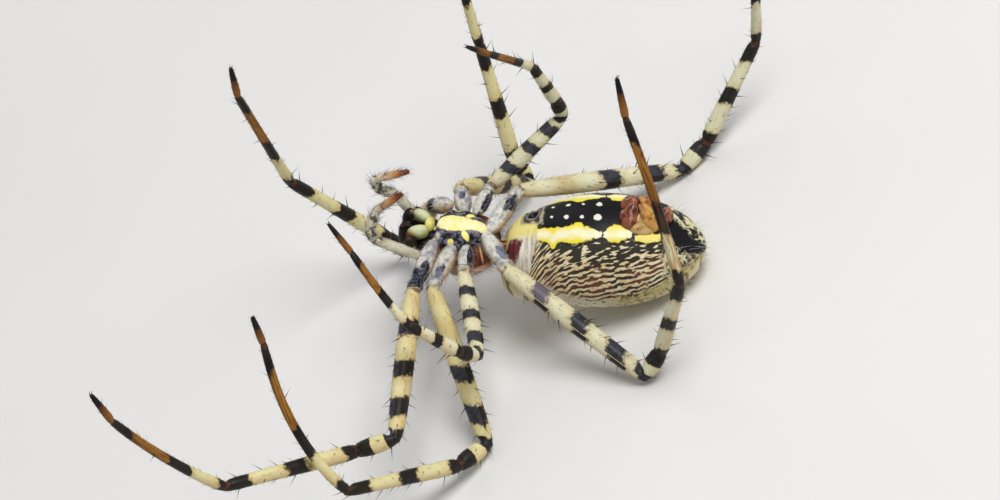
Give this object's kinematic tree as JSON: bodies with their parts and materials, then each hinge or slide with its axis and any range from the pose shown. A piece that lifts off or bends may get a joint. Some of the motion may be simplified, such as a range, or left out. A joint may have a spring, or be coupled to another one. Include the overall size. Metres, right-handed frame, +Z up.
{
  "type": "orb weaver spider",
  "caption": "Still, life-size model of a banded orb weaver spider, lying on its back with its legs drawn up.",
  "frame": {"origin": "middle of the small flat under the abdomen, on which the model rests", "axes": "+Z is up, away from the floor, and the underside of the animal faces up; the head points towards -X, raised by 20 degrees; +Y is the animal's left"},
  "size_m": [0.0401, 0.0404, 0.0274],
  "materials": {
    "abdomen": "soft, slightly glossy skin with yellow and white stripes on black",
    "carapace": "grey-brown shell under silvery hair",
    "sternum": "bright yellow plate with blue-black margins",
    "mouth": "pale greenish yellow lobes",
    "jaw": "dark glossy shell",
    "spinneret": "reddish brown, smooth",
    "palp": "cream with dark spots",
    "coxa": "whitish with blue-black patches",
    "leg": "cream with black bands",
    "metatarsus": "cream, black and amber bands",
    "tarsus": "reddish brown to black",
    "claw": "glossy black claws and eyes",
    "hair": "stiff dark bristles and pale fine hair"
  },
  "bodies": {
    "root": {"abdomen": "abdomen", "carapace": "carapace", "chelicera_left": "jaw", "chelicera_right": "jaw", "endite_left": "mouth", "endite_right": "mouth", "labium": "mouth", "leg_left_1_coxa": "coxa", "leg_left_1_femur": "leg", "leg_left_1_metatarsus": "metatarsus", "leg_left_1_patella": "leg", "leg_left_1_tarsus": "tarsus", "leg_left_1_tibia": "leg", "leg_left_2_coxa": "coxa", "leg_left_2_femur": "leg", "leg_left_2_metatarsus": "metatarsus", "leg_left_2_patella": "leg", "leg_left_2_tarsus": "tarsus", "leg_left_2_tibia": "leg", "leg_left_3_coxa": "coxa", "leg_left_3_femur": "leg", "leg_left_3_metatarsus": "metatarsus", "leg_left_3_patella": "leg", "leg_left_3_tarsus": "tarsus", "leg_left_3_tibia": "leg", "leg_left_4_coxa": "coxa", "leg_left_4_femur": "leg", "leg_left_4_metatarsus": "metatarsus", "leg_left_4_patella": "leg", "leg_left_4_tarsus": "tarsus", "leg_left_4_tibia": "leg", "leg_right_1_coxa": "coxa", "leg_right_1_femur": "leg", "leg_right_1_metatarsus": "metatarsus", "leg_right_1_patella": "leg", "leg_right_1_tarsus": "tarsus", "leg_right_1_tibia": "leg", "leg_right_2_coxa": "coxa", "leg_right_2_femur": "leg", "leg_right_2_metatarsus": "metatarsus", "leg_right_2_patella": "leg", "leg_right_2_tarsus": "tarsus", "leg_right_2_tibia": "leg", "leg_right_3_coxa": "coxa", "leg_right_3_femur": "leg", "leg_right_3_metatarsus": "metatarsus", "leg_right_3_patella": "leg", "leg_right_3_tarsus": "tarsus", "leg_right_3_tibia": "leg", "leg_right_4_coxa": "coxa", "leg_right_4_femur": "leg", "leg_right_4_metatarsus": "metatarsus", "leg_right_4_patella": "leg", "leg_right_4_tarsus": "tarsus", "leg_right_4_tibia": "leg", "palp_left": "palp", "palp_right": "palp", "spinnerets": "spinneret", "sternum": "sternum"}
  },
  "joints": []
}
